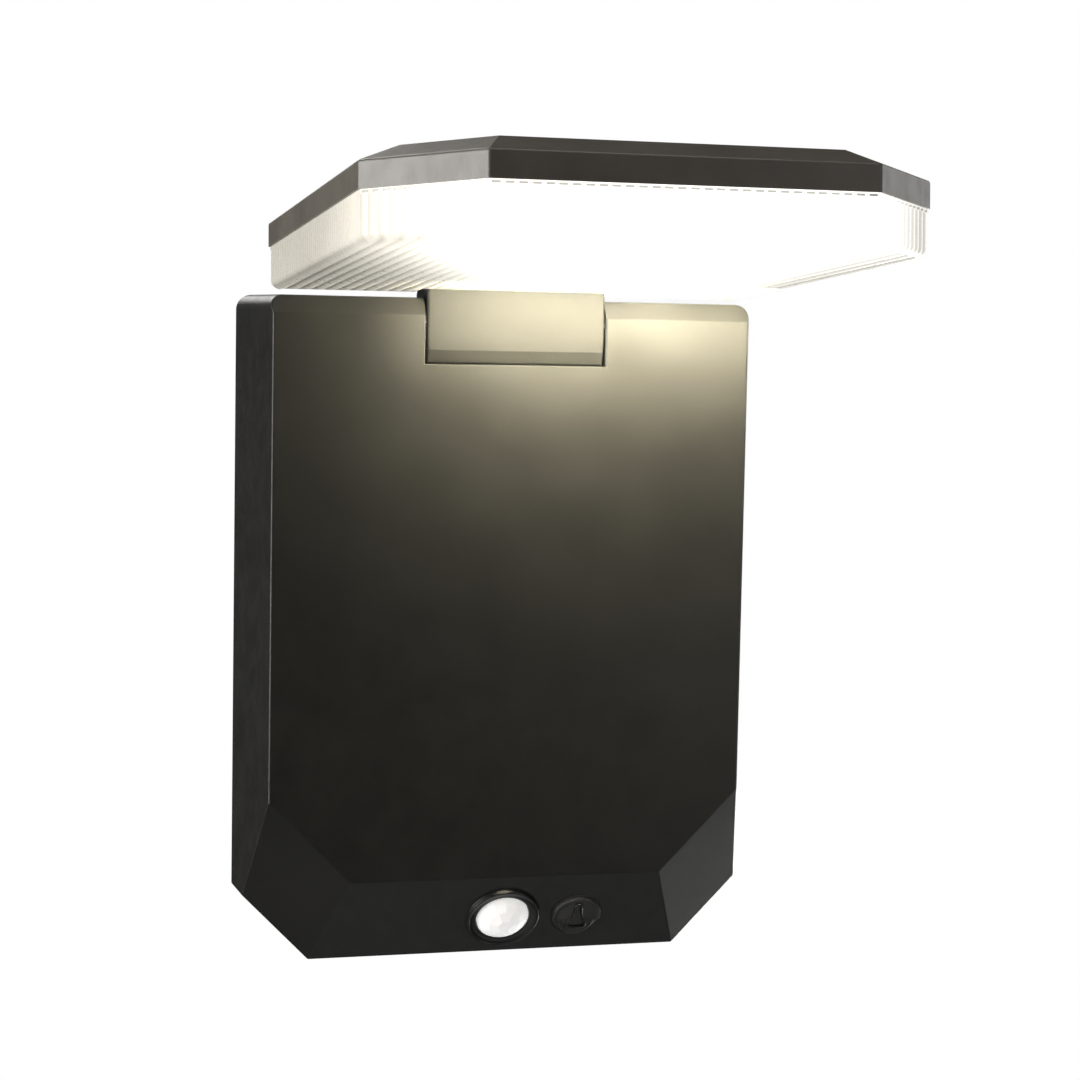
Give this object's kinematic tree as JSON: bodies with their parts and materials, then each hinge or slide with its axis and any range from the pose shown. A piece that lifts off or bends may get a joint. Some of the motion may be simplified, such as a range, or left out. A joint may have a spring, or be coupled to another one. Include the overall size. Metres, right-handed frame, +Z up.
{
  "type": "outdoor wall light",
  "caption": "Wall-mounted outdoor light whose flat lamp head, with a ribbed diffuser and a solar roof, folds down over a slim body with a motion sensor dome and a push button.",
  "frame": {"origin": "on the wall plane, midway between the two screw holes of the wall bracket", "axes": "+Z up, +X to the right as seen from the front, +Y into the wall, so the lamp stands out along -Y"},
  "size_m": [0.166, 0.1894, 0.243],
  "materials": {
    "body_plastic": "fine-grained satin",
    "cover_plastic": "matte",
    "seal_rubber": "soft",
    "screw_steel": "zinc plated",
    "bracket_steel": "zinc plated",
    "cell_can": "wrapped",
    "holder_plastic": "matte",
    "contact_brass": "nickelled",
    "circuit_green": "solder mask",
    "circuit_white": "solder mask",
    "component_black": "moulded",
    "bezel_plastic": "semi-gloss",
    "lens_white": "milky",
    "sensor_metal": "plated",
    "button_rubber": "soft matte",
    "arm_plastic": "fine-grained satin",
    "nylon": "smooth",
    "pin_steel": "ground",
    "head_plastic": "fine-grained satin",
    "diffuser_clear": "ribbed, lit warm white",
    "lamp_chip": "phosphor",
    "panel_sheet": "laminated",
    "solar_cell": "dark blue silicon",
    "panel_glass": "toughened"
  },
  "bodies": {
    "root": {"body_shell": "body_plastic", "back_cover": "cover_plastic", "back_seal": "seal_rubber", "back_cover_screws": "screw_steel", "wall_bracket": "bracket_steel", "battery_cells": "cell_can", "battery_holder": "holder_plastic", "battery_contacts": "contact_brass", "driver_board": "circuit_green", "driver_components": "component_black", "driver_screws": "screw_steel", "pir_bezel": "bezel_plastic", "pir_lens": "lens_white", "pir_sensor": "sensor_metal", "sensor_board": "circuit_green", "button_switch": "component_black", "hinge_pin": "pin_steel", "pin_clips": "pin_steel"},
    "head": {"hinge_arm": "arm_plastic", "hinge_bushes": "nylon", "friction_washers": "pin_steel", "head_cover": "head_plastic", "diffuser": "diffuser_clear", "head_seal": "seal_rubber", "led_board": "circuit_white", "led_chips": "lamp_chip", "led_board_screws": "screw_steel", "arm_screws": "screw_steel", "solar_backing": "panel_sheet", "solar_cells": "solar_cell", "solar_glass": "panel_glass"},
    "button": {"button_cap": "button_rubber"}
  },
  "joints": [
    {"name": "head_tilt", "type": "hinge", "parent": "root", "child": "head", "pos_m": [0, -0.0173, 0.095], "axis": [1, 0, 0], "range_deg": [-6, 93.4]},
    {"name": "button_press", "type": "slide", "parent": "root", "child": "button", "axis": [0, 0.8534, 0.5213], "range_m": [0, 0.001], "stiffness_N_per_m": 1500}
  ]
}
